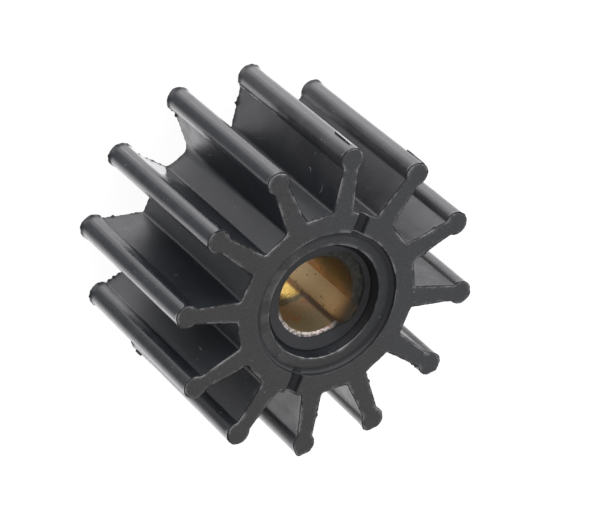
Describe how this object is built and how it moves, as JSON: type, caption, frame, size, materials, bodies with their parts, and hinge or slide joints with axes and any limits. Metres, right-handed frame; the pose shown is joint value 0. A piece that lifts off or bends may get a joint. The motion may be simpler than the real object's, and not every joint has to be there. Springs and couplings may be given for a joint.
{
  "type": "rubber pump impeller",
  "caption": "Flexible-vane water pump impeller: moulded rubber hub with radial beaded vanes around a keyed brass drive insert, with a sunk ring at each end.",
  "frame": {"origin": "centre of the rear end face, on the shaft axis", "axes": "+Z along the shaft axis towards the slotted front face; the keyway opens towards +Y; one vane points along +X"},
  "size_m": [0.065, 0.065, 0.0415],
  "materials": {
    "moulded_rubber": "satin",
    "insert_brass": "machined, tarnished"
  },
  "bodies": {
    "root": {"rubber_body": "moulded_rubber", "brass_insert": "insert_brass"}
  },
  "joints": []
}
